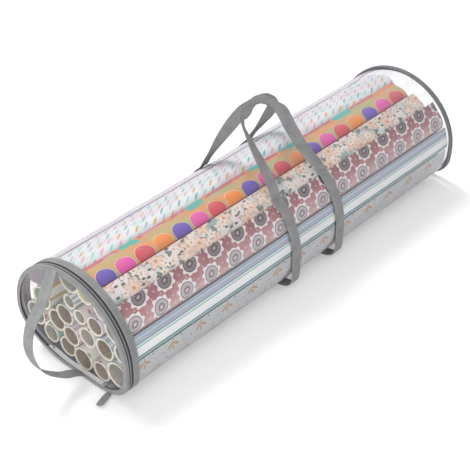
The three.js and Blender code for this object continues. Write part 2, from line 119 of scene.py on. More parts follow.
def even_turns(spacing, start=0.0, end=FULL_TURN, offset=0.0, corners=FILM_CORNERS):
    """Turns that lie the same length apart round the bag."""
    fine = np.linspace(start, end, 3001)
    run = run_along(np.stack(section(fine, offset, corners), -1))
    lengths = np.linspace(0, run[-1], max(3, round(run[-1] / spacing) + 1))
    return np.interp(lengths, run, fine)


def turn_at_height(height, turns):
    """The turn on the underside where the film is at that height."""
    return float(np.interp(-height, -section(turns)[1], turns))


# Meshes


def unit(vectors):
    """Vectors of length one."""
    return vectors / np.linalg.norm(vectors, axis=-1, keepdims=True)


def headings(points):
    """The way ahead at each point of a line."""
    return unit(np.gradient(points, axis=0))


def sideways(path):
    """The way to the right of a line in the bag's cut, at each of its points."""
    ahead = headings(path)
    return np.stack([ahead[:, 1], -ahead[:, 0]], -1)


def frames_round(x, turns, offset):
    """Points round the bag at one x, with the way ahead and the way out of the film at each."""
    ahead_turn = 0.004
    here, ahead, above = (
        np.stack([np.zeros_like(t), *section(t, o)], -1)
        for t, o in ((turns, offset), (turns + ahead_turn, offset), (turns, offset + 1))
    )
    return here + np.array([x, 0, 0]), unit(ahead - here), unit(above - here)


def loft(loops, closed=False, slot=0, paper=None):
    """A closed shell through loops of points; closed joins the last loop to the first."""
    loops = np.asarray(loops, float)
    rows, around = loops.shape[:2]
    faces = []
    for i in range(rows if closed else rows - 1):
        here, following = i * around, (i + 1) % rows * around
        for j in range(around):
            k = (j + 1) % around
            faces.append((here + j, here + k, following + k, following + j))
    if not closed:
        half = around // 2
        for first in (0, (rows - 1) * around):
            for j in range(half - 1):
                k = around - 1 - j
                faces.append((first + j, first + j + 1, first + k - 1, first + k))
    points = loops.reshape(-1, 3)
    paper = np.zeros_like(points) if paper is None else np.reshape(paper, (-1, 3))
    return {"points": points, "faces": faces, "slots": [slot] * len(faces), "paper": paper}


def piece(name, shells, materials, body, replaced=()):
    """One object of the bag from closed shells, riding on a body."""
    faces, slots, start = [], [], 0
    for shell in shells:
        faces += [tuple(start + i for i in face) for face in shell["faces"]]
        slots += shell["slots"]
        start += len(shell["points"])
    points, paper = (np.concatenate([shell[key] for shell in shells]) for key in ("points", "paper"))
    mesh = bpy.data.meshes.new(name)
    mesh.from_pydata((points * MM).tolist(), [], faces)
    attribute = mesh.attributes.new("paper_mm", "FLOAT_VECTOR", "POINT")
    attribute.data.foreach_set("vector", paper.astype(np.float32).ravel())
    for material in materials:
        mesh.materials.append(material)
    mesh.polygons.foreach_set("material_index", slots)
    work = bmesh.new()
    work.from_mesh(mesh)
    bmesh.ops.recalc_face_normals(work, faces=work.faces)
    work.to_mesh(mesh)
    work.free()
    mesh.polygons.foreach_set("use_smooth", [True] * len(mesh.polygons))
    mesh.set_sharp_from_angle(angle=math.radians(50))
    made = bpy.data.objects.new(name, mesh)
    bpy.context.scene.collection.objects.link(made)
    if body:
        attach(made, body)
    if replaced:
        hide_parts(*replaced)
    return made


def swept(cut, turns, closed=True, lined=None):
    """A strip round the bag: its cut, a loop of (x, offset) points, carried along the turns.

    The cut's faces from number lined on are its inner side, in the piece's second material.
    """
    cut = np.asarray(cut, float)
    if cut.ndim == 2:
        cut = np.broadcast_to(cut, (len(turns),) + cut.shape)
    y, z = section(np.asarray(turns)[:, None], cut[:, :, 1])
    x = np.broadcast_to(cut[:, :, 0], y.shape)
    lengths = run_along(np.stack([y[:, 0], z[:, 0]], -1))
    along = np.broadcast_to(lengths[:, None], y.shape)
    strip = loft(np.stack([x, y, z], -1), closed, paper=np.stack([along, x, np.zeros_like(y)], -1))
    if lined:
        strip["slots"] = [int(k % cut.shape[1] >= lined) for k in range(len(strip["faces"]))]
    return strip


def band_cut(near, far, inner, outer, columns, soft, thread_rows=()):
    """The cut through a sewn band: edges rounded by soft, and a dip under each row of thread."""
    xs = np.linspace(near + soft, far - soft, columns)
    xs = np.sort(np.concatenate([xs, *[[r - 0.5, r, r + 0.5] for r in thread_rows]]))
    dip = 0.22
    top = [(x, outer - (dip if x in thread_rows else 0)) for x in xs]
    under = [(x, inner) for x in xs[::-1]]
    low, high = inner + 0.25 * (outer - inner), inner + 0.75 * (outer - inner)
    return [(near, low), (near, high), *top, (far, high), (far, low), *under]


def bead(stations, side, out):
    """A small six-sided closed bead through stations: centre, half its width and half its height."""
    corners = [(math.cos(a), math.sin(a)) for a in np.arange(6) * math.pi / 3]
    return loft([[at + side * c * wide + out * s * high for c, s in corners] for at, wide, high in stations])


# Lockstitch in 0.55 mm thread: a bead every 3.6 mm, sunk a little into the cloth
STITCH_PITCH = 3.6
STITCH_LONG = 2.6
STITCH_WIDE = 0.55
STITCH_PROUD = 0.28


def stitches_round(x, offset, start, end, outward=None):
    """A row of thread round the bag at one x, standing out of the film or along outward."""
    turns = even_turns(STITCH_PITCH, start, end, offset)
    turns = turns[:-1] + np.diff(turns) / 2
    shells = []
    for middle, ahead, out in zip(*frames_round(x, turns, offset)):
        out = out if outward is None else np.array(outward)
        stations = []
        for share, size in ((-0.5, 0.35), (-0.3, 1.0), (0.3, 1.0), (0.5, 0.35)):
            at = middle + ahead * share * STITCH_LONG - out * (0.5 - size * 0.5) * STITCH_PROUD
            stations.append((at, STITCH_WIDE / 2 * size, STITCH_PROUD * size))
        shells.append(bead(stations, np.cross(ahead, out), out))
    return shells


def webbing(middles, across, width=20.0, thick=1.4):
    """A strip of webbing: its middle line and the way across it at each station."""
    middles = np.asarray(middles, float)
    ahead = headings(middles)
    across = unit(across - ahead * np.sum(across * ahead, -1, keepdims=True))
    through = np.cross(ahead, across)
    shares = np.array([-0.5, -0.475, -0.42, -0.2, 0.0, 0.2, 0.42, 0.475, 0.5])
    height = np.array([0.18, 0.42, 0.5, 0.5, 0.5, 0.5, 0.5, 0.42, 0.18])
    up = np.concatenate([height, -height[::-1]])
    width = np.broadcast_to(np.asarray(width, float), (len(middles),))
    aside = np.concatenate([shares, shares[::-1]])[None, :] * width[:, None]
    loops = middles[:, None] + across[:, None] * aside[..., None] + through[:, None] * (up * thick)[:, None]
    along = np.broadcast_to(run_along(middles)[:, None], loops.shape[:2])
    return loft(loops, paper=np.stack([along, aside, np.zeros_like(along)], -1))


def smooth_line(points, steps):
    """A smooth line through points."""
    points = np.asarray(points, float)
    ends = np.concatenate([[2 * points[0] - points[1]], points, [2 * points[-1] - points[-2]]])
    t = np.linspace(0, 1, steps, endpoint=False)[:, None]
    parts = []
    for a, b, c, d in zip(ends, ends[1:], ends[2:], ends[3:]):
        curve = 2 * b + (c - a) * t + (2 * a - 5 * b + 4 * c - d) * t**2
        parts.append(0.5 * (curve + (3 * b - a - 3 * c + d) * t**3))
    return np.concatenate(parts + [points[-1:]])


# Materials


def colour(text):
    """An sRGB hex colour as linear light."""
    parts = [int(text[i : i + 2], 16) / 255 for i in (1, 3, 5)]
    return (*[p / 12.92 if p <= 0.04045 else ((p + 0.055) / 1.055) ** 2.4 for p in parts], 1.0)


def output_of(made):
    """A node's first output in use."""
    return next(s for s in made.outputs if s.enabled)


def node(tree, kind, inputs=(), ramp=None, **settings):
    """Adds a node with its settings. A kind such as "Math ADD" ends in its operation.

    Inputs are values, hex colours, sockets or nodes, by place or by name.
    """
    kind, _, operation = kind.partition(" ")
    made = tree.nodes.new("ShaderNode" + kind)
    if operation:
        made.operation = operation
    for name, value in settings.items():
        setattr(made, name, value)
    if ramp:
        stops = made.color_ramp.elements
        while len(stops) < len(ramp):
            stops.new(0.5)
        for stop, (where, tint) in zip(stops, ramp):
            stop.position, stop.color = where, colour(tint)
    in_use = [s for s in made.inputs if s.enabled]
    for key, value in inputs.items() if isinstance(inputs, dict) else enumerate(inputs):
        socket = made.inputs[key] if isinstance(key, str) else in_use[key]
        value = output_of(value) if isinstance(value, bpy.types.Node) else value
        if isinstance(value, bpy.types.NodeSocket):
            tree.links.new(value, socket)
        else:
            socket.default_value = colour(value) if isinstance(value, str) else value
    return made


def feed(tree, shader, **links):
    """Links nodes to a shader's inputs by name, with _ for a space."""
    for name, made in links.items():
        tree.links.new(output_of(made), shader.inputs[name.replace("_", " ")])


def new_material(name, base, roughness, **shares):
    """A material with one Principled shader; shares are its other plain values."""
    made = bpy.data.materials.new(name)
    made.use_nodes = True
    tree = made.node_tree
    shader = tree.nodes["Principled BSDF"]
    shader.inputs["Base Color"].default_value = colour(base)
    shader.inputs["Roughness"].default_value = roughness
    for key, value in shares.items():
        shader.inputs[key.replace("_", " ")].default_value = value
    return made, tree, shader


def paper_place(tree):
    """A point's place on the flat sheet, in millimetres: along, across."""
    place = node(tree, "Attribute", attribute_name="paper_mm").outputs["Vector"]
    parts = node(tree, "SeparateXYZ", (place,))
    return place, parts.outputs["X"], parts.outputs["Y"]


def cells(tree, u, v, along, around):
    """Staggered cells of along by around mm: the place from a cell's middle, its column and its row."""
    across = node(tree, "Math DIVIDE", (v, around))
    row = node(tree, "Math FLOOR", (across,))
    odd = node(tree, "Math FLOORED_MODULO", (row, 2))
    moved = node(tree, "Math MULTIPLY_ADD", (u, 1 / along, node(tree, "Math MULTIPLY", (odd, 0.5))))
    column = node(tree, "Math FLOOR", (moved,))
    inside = []
    for share, size in ((moved, along), (across, around)):
        part = node(tree, "Math FRACT", (share,))
        inside.append(node(tree, "Math MULTIPLY_ADD", (part, size, -size / 2)))
    return node(tree, "CombineXYZ", (*inside, 0)), column, row


def spot(tree, place, middle, radii, soft, angle=0.0, wave=0.0):
    """Ink coverage of an oval spot in a cell; wave is how deep its nine lobes go."""
    moved = node(tree, "VectorMath SUBTRACT", (place, (*middle, 0)))
    if angle:
        moved = node(tree, "VectorRotate", {"Vector": moved, "Angle": angle}, rotation_type="Z_AXIS")
    shares = node(tree, "VectorMath DIVIDE", (moved, (*radii, 1)))
    far = node(tree, "VectorMath LENGTH", (shares,)).outputs["Value"]
    if wave:
        parts = node(tree, "SeparateXYZ", (shares,))
        turn = node(tree, "Math ARCTAN2", (parts.outputs["Y"], parts.outputs["X"]))
        lobe = node(tree, "Math COSINE", (node(tree, "Math MULTIPLY", (turn, 9.0)),))
        far = node(tree, "Math MULTIPLY_ADD", (lobe, wave, far))
    return node(tree, "Math MULTIPLY_ADD", (far, -1 / soft, 1 / soft), use_clamp=True)


def inked(tree, ground, ink, coverage):
    """One colour printed over another."""
    return node(tree, "Mix", (coverage, ground, ink), data_type="RGBA")


def cloth(name, base, dark, pitch, strength, roughness=0.85):
    """Woven yarn, its threads pitch mm apart: matt, with painted light and shade on each thread, darker in
    the weave's dips, and a random mottle in its tone.
    """
    made, tree, shader = new_material(name, base, roughness, Sheen_Weight=0.15)
    place, _, _ = paper_place(tree)
    scaled = node(tree, "VectorMath MULTIPLY", (place, (1 / pitch, 1 / pitch, 0)))
    parts = node(tree, "SeparateXYZ", (scaled,))
    waves = []
    for part in ("X", "Y"):
        turn = node(tree, "Math MULTIPLY", (parts.outputs[part], FULL_TURN))
        waves.append(node(tree, "Math SINE", (turn,)))
    weave = node(tree, "Math MULTIPLY", waves)
    fuzz = node(tree, "TexNoise", {"Vector": scaled, "Scale": 0.9, "Detail": 3.0})
    height = node(tree, "Math MULTIPLY_ADD", (fuzz, 1.2, weave))
    bump = node(tree, "Bump", {"Height": height, "Strength": strength, "Distance": pitch * 0.25 * MM})
    mottle = node(tree, "TexNoise", {"Vector": place, "Scale": 0.06, "Detail": 4.0})
    # Painted light and shade: the colour follows the weave's height, darker in the dips between threads,
    # mixed with a random mottle in the yarn's tone
    share = node(tree, "Math MULTIPLY_ADD", (height, 0.16, mottle))
    ramp = node(tree, "ValToRGB", (share,), ramp=[(0.25, dark), (0.75, base)])
    feed(tree, shader, Base_Color=ramp, Normal=bump)
    return made


def clear_vinyl(name, tint, haze, painted_glint_streak, gloss):
    """Clear vinyl, calendered: a plain gloss that grows at a slant, a faint even milky haze, and long
    streaks where more of the glossy sheet shows, as painted glints.
    """
    made, tree, shader = new_material(name, tint, 0.18, Metallic=0.3)
    place = node(tree, "NewGeometry").outputs["Position"]
    long = node(tree, "VectorMath MULTIPLY", (place, (7.0, 46.0, 46.0)))
    streaks = node(tree, "TexNoise", {"Vector": long, "Scale": 1.0, "Detail": 3.0})
    # Painted glints: long streaks of noise raise how much of the milky, glossy sheet shows over its faint
    # even haze
    limits = {"From Min": 0.5, "From Max": 0.8, "To Min": haze, "To Max": haze + painted_glint_streak}
    haze_and_painted_glints = node(tree, "MapRange", {"Value": streaks, **limits})
    facing = node(tree, "LayerWeight", {"Blend": 0.5}).outputs["Facing"]
    slant = node(tree, "Math POWER", (facing, 2.6))
    cover = node(tree, "Math MULTIPLY_ADD", (slant, gloss, haze_and_painted_glints), use_clamp=True)
    ripple = node(tree, "TexNoise", {"Vector": place, "Scale": 38.0, "Detail": 2.0})
    bump = node(tree, "Bump", {"Height": ripple, "Strength": 0.25, "Distance": 1.5 * MM})
    feed(tree, shader, Normal=bump)
    mixed = node(tree, "MixShader", (cover, node(tree, "BsdfTransparent"), shader))
    feed(tree, tree.nodes["Material Output"], Surface=mixed)
    return made


# The tube, hazy from handling and with painted glints in long streaks, and the flat discs at its ends, which
# are clearer with fainter painted glints
film = clear_vinyl("clear_vinyl_film", "#c4bec8", haze=0.035, painted_glint_streak=0.09, gloss=0.72)
window_film = clear_vinyl("clear_vinyl_window", "#d6d2da", haze=0.0, painted_glint_streak=0.03, gloss=0.4)

# Polypropylene webbing, woven in a flat rib about 1.4 mm apart: matt grey with a slight sheen
webbing_cloth = cloth("grey_webbing", "#9f9fa0", "#828283", 1.4, 0.8)
# Oxford polyester, plain weave; its 0.4 mm threads are drawn 0.9 mm apart so that they show
trim_cloth = cloth("grey_trim_fabric", "#929293", "#7a7a7b", 0.9, 0.5)
binding_cloth = cloth("dark_grey_binding", "#77777b", "#5c5c60", 0.9, 0.5)
# Woven polyester zip tape, dyed black: matt, its fine rib drawn 0.8 mm apart so that it shows
tape_cloth = cloth("black_zip_tape", "#242427", "#141416", 0.8, 0.5)
# Spun polyester thread: paler than the cloth, with a soft gloss
thread = cloth("grey_thread", "#b4b4b6", "#97979a", 0.5, 0.3, 0.6)


def coil_nylon():
    """Nylon monofilament, wound and heat set: satin, mid grey."""
    made, tree, shader = new_material("grey_nylon_coil", "#8e8e92", 0.38)
    place = node(tree, "NewGeometry").outputs["Position"]
    noise = node(tree, "TexNoise", {"Vector": place, "Scale": 900.0, "Detail": 2.0})
    tone = node(tree, "ValToRGB", (noise,), ramp=[(0.3, "#77777b"), (0.7, "#9c9ca0")])
    feed(tree, shader, Base_Color=tone)
    return made


def enamelled_zinc():
    """Die-cast zinc with baked grey enamel: smooth, with worn brighter edges."""
    made, tree, shader = new_material("grey_enamelled_zinc", "#8b8d90", 0.32, Metallic=0.7)
    geometry = node(tree, "NewGeometry").outputs
    worn = node(tree, "MapRange", {"Value": geometry["Pointiness"], "From Min": 0.52, "From Max": 0.6})
    grain = node(tree, "TexNoise", {"Vector": geometry["Position"], "Scale": 1500.0})
    bump = node(tree, "Bump", {"Height": grain, "Strength": 0.1, "Distance": 0.05 * MM})
    feed(tree, shader, Base_Color=inked(tree, "#85878a", "#c4c5c7", worn), Normal=bump)
    return made


coil_finish = coil_nylon()
zinc = enamelled_zinc()


def wrap_paper(name, draw):
    """Gift wrap: printed coated paper with a soft gloss and faint creases from the winding."""
    made, tree, shader = new_material(name, "#ffffff", 0.42)
    place, u, v = paper_place(tree)
    long = node(tree, "VectorMath MULTIPLY", (place, (0.012, 0.09, 0)))
    crease = node(tree, "TexNoise", {"Vector": long, "Scale": 2.2, "Detail": 5.0})
    bump = node(tree, "Bump", {"Height": crease, "Strength": 0.35, "Distance": 1.2 * MM})
    feed(tree, shader, Base_Color=draw(tree, place, u, v), Normal=bump)
    return made


# The prints. Each is drawn in millimetres on the flat sheet: u along the roll, v round it, with v 0
# where the roll is nearest to the film.


def striped(tree, place, u, v):
    """Stripes along the roll: lavender blue, mint lines, white, and a pair of teal lines."""
    repeat, shift = 50.0, 35
    share = node(tree, "Math FRACT", (node(tree, "Math MULTIPLY_ADD", (v, 1 / repeat, shift / repeat)),))
    widths = (
        (2, "#a5d9d2"), (7, "#adb5c9"), (2, "#bfe6df"), (6.5, "#b9b9cf"), (1.5, "#6f9aa0"),
        (3, "#e2f6f0"), (1.2, "#58aba4"), (12.8, "#ffffff"), (1.5, "#9fe0d8"), (3, "#23757e"),
        (2.3, "#e9fbf8"), (2.8, "#109492"), (1.8, "#b5e8e2"), (2.6, "#c5ccd2"),
    )
    stops, at = [], 0.0
    for wide, tint in widths:
        stops.append((at / repeat, tint))
        at += wide
    stripes = node(tree, "ValToRGB", (share,), ramp=stops)
    stripes.color_ramp.interpolation = "CONSTANT"
    return stripes


def dotted(tree, place, u, v):
    """One row of large round dots in four colours on warm sand, brush strokes above, and below a dark red
    band, partly printed and partly painted shade where the roll curves under.
    """
    clouds = []
    for stretch in ((0.012, 0.05, 0), (0.02, 0.02, 0)):
        flat = node(tree, "VectorMath MULTIPLY", (place, stretch))
        clouds.append(node(tree, "TexNoise", {"Vector": flat, "Scale": 1.0, "Detail": 1.0}))
    glow, edge = clouds
    sand = [(0.34, "#a9b97c"), (0.46, "#c9b074"), (0.58, "#cfa86c"), (0.72, "#f5943c")]
    ground = node(tree, "ValToRGB", (glow,), ramp=sand)
    paints = [(0.36, "#3fb9ab"), (0.44, "#e58a4a"), (0.52, "#cf5f63"), (0.62, "#e0679f")]
    strokes = node(tree, "ValToRGB", (edge,), ramp=paints)
    strokes.color_ramp.interpolation = "CONSTANT"
    ragged = node(tree, "Math MULTIPLY_ADD", (edge, 22.0, v))
    upper = node(tree, "MapRange", {"Value": ragged, "From Min": -9.0, "From Max": -10.5})
    ground = inked(tree, ground, strokes, upper)
    moved = node(tree, "Math ADD", (u, -15.7))
    dot, column, _ = cells(tree, moved, node(tree, "Math ADD", (v, 40.0)), 38.1, 80.0)
    tint = node(tree, "Math MULTIPLY_ADD", (node(tree, "Math FLOORED_MODULO", (column, 4.0)), 0.25, 0.1))
    four = [(0.0, "#6f57b8"), (0.25, "#ec5aae"), (0.5, "#df4f5a"), (0.75, "#f9953f")]
    inks = node(tree, "ValToRGB", (tint,), ramp=four)
    inks.color_ramp.interpolation = "CONSTANT"
    ground = inked(tree, ground, "#ecd7b4", spot(tree, dot, (0, 6.2), (17.5, 17.5), 0.03))
    ground = inked(tree, ground, inks, spot(tree, dot, (0, 6.2), (16.7, 16.7), 0.03))
    # Dark red band below: partly a printed second tone, partly painted shade where the roll curves under and
    # the roll below shadows it
    low = node(tree, "MapRange", {"Value": v, "From Min": 12.0, "From Max": 13.0, "To Max": 0.62})
    return inked(tree, ground, "#6e1f3c", low)


def floral(tree, place, u, v):
    """Loose five-petalled blossoms in a brown outline, slender leaves and dark seeds, on cream."""
    flat = node(tree, "VectorMath MULTIPLY", (place, (1 / 30.0, 1 / 30.0, 0)))
    wash = node(tree, "TexNoise", {"Vector": flat, "Scale": 0.6, "Detail": 2.0})
    cream = [(0.38, "#a5bab8"), (0.46, "#dde0dc"), (0.56, "#f4ebe7"), (0.66, "#f1d8d6")]
    ground = node(tree, "ValToRGB", (wash,), ramp=cream)
    for scale, petals, size, ink, heart in (
        (1.9, 2.0, 0.2, "#59634f", "#59634f"),
        (1.3, 3.0, 0.24, "#7f8c7c", "#7f8c7c"),
        (0.85, 5.0, 0.4, "#a58b80", "#a58b80"),
        (0.85, 5.0, 0.36, "#f5d8c4", "#dc9d6c"),
        (1.2, 5.0, 0.3, "#f8ece0", "#b98a58"),
    ):
        seeds = node(tree, "TexVoronoi", {"Vector": flat, "Scale": scale}, voronoi_dimensions="2D")
        spread = node(tree, "VectorMath SCALE", {"Vector": flat, "Scale": scale})
        middle = node(tree, "VectorMath SCALE", {"Vector": seeds.outputs["Position"], "Scale": scale})
        away = node(tree, "VectorMath SUBTRACT", (spread, middle))
        parts = node(tree, "SeparateXYZ", (away,))
        angle = node(tree, "Math ARCTAN2", (parts.outputs["Y"], parts.outputs["X"]))
        wave = node(tree, "Math COSINE", (node(tree, "Math MULTIPLY", (angle, petals)),))
        reach = node(tree, "Math MULTIPLY_ADD", (wave, size * 0.28, size))
        far = node(tree, "VectorMath LENGTH", (away,)).outputs["Value"]
        inside = node(tree, "Math SUBTRACT", (reach, far))
        cover = node(tree, "Math MULTIPLY", (inside, 14.0), use_clamp=True)
        ground = inked(tree, ground, ink, cover)
        core = node(tree, "Math MULTIPLY_ADD", (far, -16.0, 16.0 * size * 0.3), use_clamp=True)
        ground = inked(tree, ground, heart, core)
    specks = node(tree, "TexVoronoi", {"Vector": flat, "Scale": 6.5}, voronoi_dimensions="2D")
    speck = node(tree, "Math MULTIPLY_ADD", (specks.outputs["Distance"], -9.0, 1.5), use_clamp=True)
    sparse = node(tree, "Math MULTIPLY_ADD", (wash, 12.0, -6.2), use_clamp=True)
    return inked(tree, ground, "#4b4a44", node(tree, "Math MULTIPLY", (speck, sparse)))


def mauve(tree, place, u, v):
    """Nine-petalled rosettes, grey inside a white edge, with small pips between, on dusty pink, with painted
    shade darkening the ground and the rosettes up the roll.
    """
    # Painted shade: the ground darkens from v 14 up to v -30, where the roll turns away under the roll
    # above, mixed with a random wash
    painted_shade = node(tree, "MapRange", {"Value": v, "From Min": -30.0, "From Max": 14.0})
    wash = node(tree, "TexNoise", {"Vector": place, "Scale": 0.05, "Detail": 3.0})
    share = node(tree, "Math MULTIPLY_ADD", (wash, 0.5, node(tree, "Math MULTIPLY", (painted_shade, 0.6))))
    pinks = [(0.25, "#a4686d"), (0.45, "#b98084"), (0.65, "#cfa2a4"), (0.85, "#e6c9c8")]
    ground = node(tree, "ValToRGB", (share,), ramp=pinks)
    place, _, row = cells(tree, u, node(tree, "Math ADD", (v, 14.0)), 52.0, 30.0)
    # Painted shade: rosettes in the rows up the roll take the dark tones, the others the lit, pale ones
    painted_lit_rows = node(tree, "Math GREATER_THAN", (row, -1.0))
    for middle in ((-26.0, -5.0), (26.0, -5.0), (-26.0, 5.0), (26.0, 5.0), (-17.0, 13.0), (17.0, 13.0)):
        ground = inked(tree, ground, "#f0dada", spot(tree, place, middle, (1.4, 1.4), 0.3))
    for radii, wave, dark, pale in (
        ((18.4, 15.6), 0.12, "#f7efec", "#fbf7f5"),
        ((13.9, 11.4), 0, "#4f474b", "#7d767b"),
        ((12.4, 9.9), 0, "#8b8285", "#cdc6ca"),
        ((7.0, 5.2), 0.16, "#54494d", "#8d8489"),
        ((3.6, 2.4), 0, "#b9a9ad", "#eccdd2"),
    ):
        cover = spot(tree, place, (0.0, 0.0), radii, 0.05, 0.4, wave)
        ground = inked(tree, ground, inked(tree, dark, pale, painted_lit_rows), cover)
    return ground


def silver_sprig(tree, place, u, v):
    """Small gold sprigs, each a pair of leaves over a stem, and dark dots, on pearly silver."""
    wash = node(tree, "TexNoise", {"Vector": place, "Scale": 0.35, "Detail": 5.0})
    ground = node(tree, "ValToRGB", (wash,), ramp=[(0.3, "#b9c0be"), (0.6, "#d7dedc")])
    place, _, _ = cells(tree, u, v, 58.0, 27.0)
    for ink, soft, middle, radii, angle in (
        ("#c9974e", 0.12, (-6.0, 2.0), (7.6, 2.6), 0.6),
        ("#c9974e", 0.12, (6.0, 2.0), (7.6, 2.6), -0.6),
        ("#c9974e", 0.12, (0.0, -6.0), (1.0, 6.4), 0.0),
        ("#c9974e", 0.12, (0.0, 7.0), (2.4, 4.6), 0.0),
        ("#5d5850", 0.3, (-20.0, 6.0), (2.4, 1.2), 0.5),
        ("#5d5850", 0.3, (17.0, -7.0), (1.4, 2.6), 0.5),
        ("#5d5850", 0.3, (22.0, 5.0), (1.2, 1.2), 0.5),
    ):
        ground = inked(tree, ground, ink, spot(tree, place, middle, radii, soft, angle))
    return ground


def pastel(tree, place, u, v):
    """Short dabs of paint in slanting rows, and a few pale washes, on white."""
    flat = node(tree, "VectorMath MULTIPLY", (place, (0.016, 0.05, 0)))
    wash = node(tree, "TexNoise", {"Vector": flat, "Scale": 1.0, "Detail": 1.0})
    whites = [(0.34, "#cfe9e6"), (0.44, "#eef2f1"), (0.58, "#f0f1f1"), (0.68, "#f2dbe2")]
    ground = node(tree, "ValToRGB", (wash,), ramp=whites)
    slant = node(tree, "VectorRotate", {"Vector": place, "Angle": 0.42}, rotation_type="Z_AXIS")
    parts = node(tree, "SeparateXYZ", (slant,))
    inside, column, row = cells(tree, parts.outputs["X"], parts.outputs["Y"], 27.0, 9.0)
    mixed = node(tree, "Math MULTIPLY_ADD", (row, 2.0, column))
    share = node(tree, "Math MULTIPLY_ADD", (node(tree, "Math FLOORED_MODULO", (mixed, 5.0)), 0.2, 0.1))
    five = [(0.0, "#a9ded4"), (0.2, "#e3b05a"), (0.4, "#6fb7c0"), (0.6, "#efb3c6"), (0.8, "#c3c6cb")]
    inks = node(tree, "ValToRGB", (share,), ramp=five)
    inks.color_ramp.interpolation = "CONSTANT"
    return inked(tree, ground, inks, spot(tree, inside, (0.0, 0.0), (9.5, 2.1), 0.25, 0.2))


def plain_print(ground, ink, along, around, radii):
    """Staggered spots of one colour on another."""

    def draw(tree, place, u, v):
        inside, _, _ = cells(tree, u, v, along, around)
        return inked(tree, ground, ink, spot(tree, inside, (0.0, 0.0), radii, 0.12))

    return draw


def lined_print(ground, ink, pitch, share):
    """Lines along the roll."""

    def draw(tree, place, u, v):
        place_in = node(tree, "Math FRACT", (node(tree, "Math DIVIDE", (v, pitch)),))
        return inked(tree, ground, ink, node(tree, "Math LESS_THAN", (place_in, share)))

    return draw


def mottled(name, low, high, scale, painted_deep_shade=0.0):
    """Uncoated paper or board: matt, with light and dark flecks of fibre.

    Its last argument is how far painted shade darkens it, from 5 mm inside the rolls' ends to 45 mm,
    standing for the little light that comes so far in.
    """
    made, tree, shader = new_material(name, low, 0.8)
    place = node(tree, "NewGeometry").outputs["Position"]
    flecks = node(tree, "TexNoise", {"Vector": place, "Scale": scale, "Detail": 5.0})
    tone = node(tree, "ValToRGB", (flecks,), ramp=[(0.3, low), (0.7, high)])
    if painted_deep_shade:
        rolls_middle = 0.035
        x = node(tree, "SeparateXYZ", (place,)).outputs["X"]
        away = node(tree, "Math ABSOLUTE", (node(tree, "Math ADD", (x, -rolls_middle)),))
        # Painted shade: the tube's inside darkens towards #2b221a the deeper it lies from the rolls' ends
        painted_shade = node(tree, "MapRange", {"Value": away, "From Min": 0.385, "From Max": 0.345, "To Max": painted_deep_shade})
        tone = inked(tree, tone, "#2b221a", painted_shade)
    bump = node(tree, "Bump", {"Height": flecks, "Strength": 0.2, "Distance": 0.2 * MM})
    feed(tree, shader, Base_Color=tone, Normal=bump)
    return made


# The wrap's back, uncoated: matt warm white
paper_back = mottled("white_paper_back", "#f0e9d6", "#f9f4e6", 300.0)
# Tissue paper, thin and uncoated, dyed in the pulp: a matt pale lilac
tissue = mottled("pink_lilac_tissue", "#cabfca", "#dacfd8", 160.0)
# The board that the tubes are wound from, brown kraft or grey recycled pulp, with painted shade deep inside
# the tubes, and wrap dyed on its back
BACKS = {
    "green": mottled("green_paper_inside", "#93b98c", "#a9cba0", 200.0),
    "yellow": mottled("yellow_paper_inside", "#dbcf95", "#e9dfae", 200.0),
    "kraft": mottled("kraft_core_board", "#937f63", "#ad9a7c", 260.0, painted_deep_shade=0.6),
    "grey": mottled("grey_core_board", "#a7a293", "#bfbaaa", 260.0, painted_deep_shade=0.35),
}

# Each roll's print, and the board or paper that its tube shows
PRINTS = {
    "roll_silver_sprig": (silver_sprig, "grey"),
    "roll_striped": (striped, "kraft"),
    "roll_mauve": (mauve, "grey"),
    "roll_floral": (floral, "grey"),
    "roll_dotted": (dotted, "yellow"),
    "roll_pastel": (pastel, "grey"),
    "roll_01": (lined_print("#e8ecec", "#a9c6c1", 14.0, 0.5), "kraft"),
    "roll_02": (plain_print("#e7d8d4", "#b9616a", 22.0, 15.0, (3.4, 3.4)), "kraft"),
    "roll_03": (plain_print("#f1efe9", "#c3ab77", 26.0, 18.0, (4.2, 4.2)), "kraft"),
    "roll_04": (lined_print("#dfe4ec", "#93a3bf", 9.0, 0.35), "kraft"),
    "roll_05": (plain_print("#a9c4b4", "#e9efe6", 24.0, 17.0, (2.6, 5.2)), "grey"),
    "roll_06": (plain_print("#efe3d2", "#c0775f", 30.0, 21.0, (5.0, 5.0)), "grey"),
    "roll_07": (lined_print("#f2e5e7", "#dcb2bb", 12.0, 0.4), "kraft"),
    "roll_08": (plain_print("#c3c8d0", "#f1f2f4", 18.0, 13.0, (2.2, 2.2)), "kraft"),
    "roll_09": (plain_print("#efeae0", "#8c9a7c", 28.0, 19.0, (6.5, 2.4)), "grey"),
    "roll_10": (lined_print("#f3efe2", "#d9b45e", 16.0, 0.3), "green"),
    "roll_11": (plain_print("#bcd2d4", "#f6f3ec", 25.0, 18.0, (3.8, 3.8)), "kraft"),
    "roll_12": (plain_print("#e9dff0", "#a58fc0", 21.0, 15.0, (3.0, 3.0)), "kraft"),
    "roll_13": (plain_print("#f4efe6", "#c98f86", 23.0, 16.0, (2.4, 4.4)), "grey"),
    "roll_14": (lined_print("#eceff0", "#9db4b0", 8.0, 0.4), "grey"),
}


# The rolls of paper: sheet wound on a board tube, each turn's edge showing at the ends
SHEET = 0.4
SHEET_PITCH = 0.45
WOUND_TURNS = 5.25
CORE_SLACK = 0.85
CORE_THICK = 0.85
CORE_RECESS = 1.2

# The free end of a sheet that has sprung open along the film, by the turn that it reaches, in degrees
FREE_ENDS = {
    "roll_silver_sprig": 179.0,
    "roll_striped": 157.5,
    "roll_mauve": 131.6,
    "roll_floral": 115.0,
    "roll_dotted": 93.5,
    "roll_pastel": 64.5,
}


